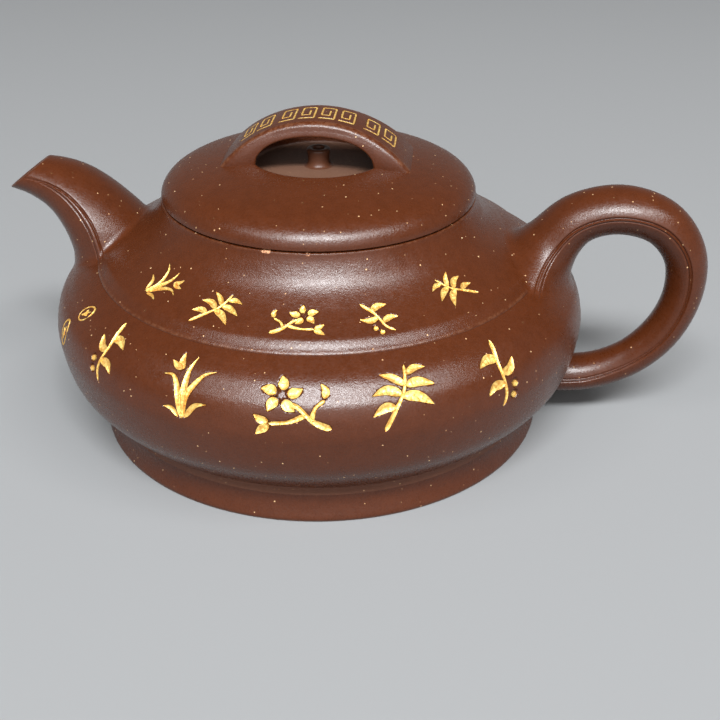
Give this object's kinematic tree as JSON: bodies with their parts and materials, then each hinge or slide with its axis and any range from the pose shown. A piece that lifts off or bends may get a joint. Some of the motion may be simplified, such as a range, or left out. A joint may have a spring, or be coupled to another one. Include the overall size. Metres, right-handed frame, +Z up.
{
  "type": "yixing clay teapot",
  "caption": "Flat round unglazed red-brown clay teapot with a covering lid, bridge knob, short curved spout and ear handle.",
  "frame": {"origin": "middle of the teapot's whole footprint box, on the surface that it stands on", "axes": "+X from the spout to the handle, +Z up, out through the lid"},
  "size_m": [0.1574, 0.1196, 0.0702],
  "materials": {
    "clay": "satin",
    "raw_clay": "matte",
    "gilding": "satin"
  },
  "bodies": {
    "pot": {"base_slab": "raw_clay", "foot_ring": "clay", "belly_wall": "clay", "shoulder": "clay", "mouth_ring": "clay", "spout": "clay", "handle": "clay"},
    "lid_seat": {"lid_flange": "raw_clay"},
    "lid": {"lid_plate": "clay", "lid_cap": "clay", "vent_nipple": "clay", "lid_bridge": "clay"}
  },
  "joints": [
    {"name": "lid_lift", "type": "slide", "parent": "pot", "child": "lid_seat", "axis": [0, 0, 1], "range_m": [0, 0.07]},
    {"name": "lid_spin", "type": "hinge", "parent": "lid_seat", "child": "lid", "pos_m": [-0.00738, 0, 0.0527], "axis": [0, 0, 1], "continuous": true}
  ]
}
